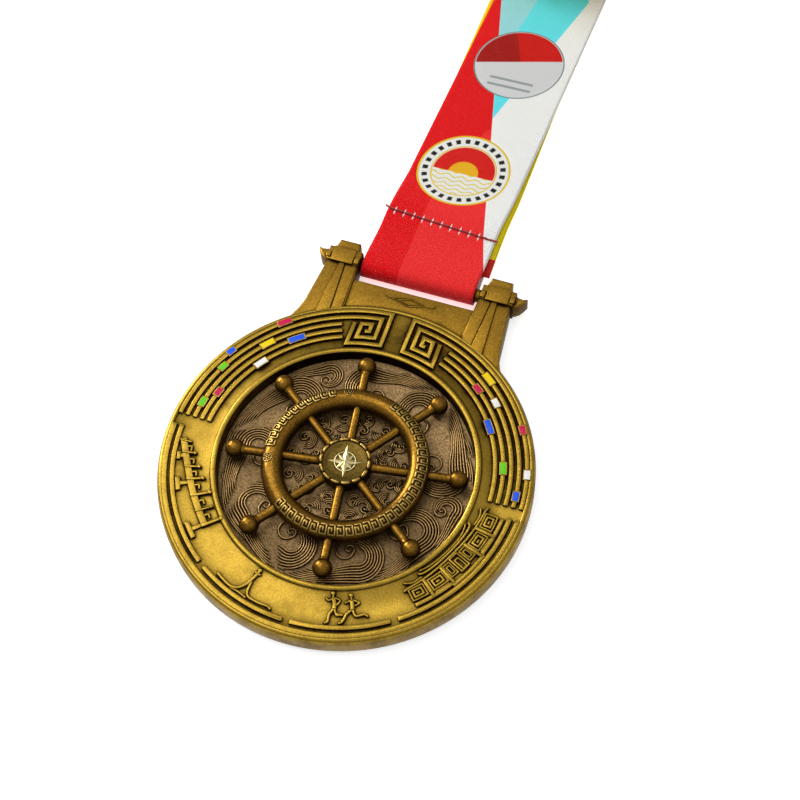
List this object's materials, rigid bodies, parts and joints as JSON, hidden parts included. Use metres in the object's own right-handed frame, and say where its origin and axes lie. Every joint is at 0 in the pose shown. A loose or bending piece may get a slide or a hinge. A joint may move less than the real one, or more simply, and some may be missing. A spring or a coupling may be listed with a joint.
{
  "type": "sports finisher medal",
  "caption": "Round cast finisher medal with a ship's wheel that spins in its recess, enamel inlays, a gate-shaped hanger and a sewn, rolled neck ribbon.",
  "frame": {"origin": "centre of the disc's flat back face", "axes": "+Y from the disc's centre to the ribbon, +Z out of the medal's front face along the wheel's axis, +X to the right when looking at the front"},
  "size_m": [0.075, 0.199, 0.0291],
  "materials": {
    "antique_brass": "antique brass plating on zinc, dark in the recesses",
    "dark_brass": "antique brass plating on zinc, rubbed bright on the high spots",
    "enamel_blue": "glossy soft enamel",
    "enamel_white": "glossy soft enamel",
    "enamel_green": "glossy soft enamel",
    "enamel_pink": "glossy soft enamel",
    "enamel_yellow": "glossy soft enamel",
    "satin_ribbon": "printed polyester satin",
    "sewing_thread": "dark red polyester thread"
  },
  "bodies": {
    "medal": {"medal_body": "antique_brass", "pivot_rivet": "antique_brass", "spacer_washer": "antique_brass", "enamel_right_blue_low": "enamel_blue", "enamel_right_white_low": "enamel_white", "enamel_right_green": "enamel_green", "enamel_right_pink_low": "enamel_pink", "enamel_right_blue_high": "enamel_blue", "enamel_right_white_high": "enamel_white", "enamel_right_pink_high": "enamel_pink", "enamel_right_yellow": "enamel_yellow", "enamel_left_blue_high": "enamel_blue", "enamel_left_pink_high": "enamel_pink", "enamel_left_yellow": "enamel_yellow", "enamel_left_white": "enamel_white", "enamel_left_blue_low": "enamel_blue", "enamel_left_green_high": "enamel_green", "enamel_left_pink_low": "enamel_pink", "enamel_left_green_low": "enamel_green"},
    "wheel": {"ship_wheel": "dark_brass", "hub_cap": "dark_brass"},
    "ribbon": {"neck_ribbon": "satin_ribbon", "needle_thread": "sewing_thread", "bobbin_thread": "sewing_thread"}
  },
  "joints": [
    {"name": "wheel_spin", "type": "hinge", "parent": "medal", "child": "wheel", "pos_m": [0, 0, 0.0047], "axis": [0, 0, 1], "continuous": true},
    {"name": "ribbon_swing", "type": "hinge", "parent": "medal", "child": "ribbon", "pos_m": [0, 0.0469, 0.0025], "axis": [1, 0, 0], "range_deg": [-125, 135]}
  ]
}
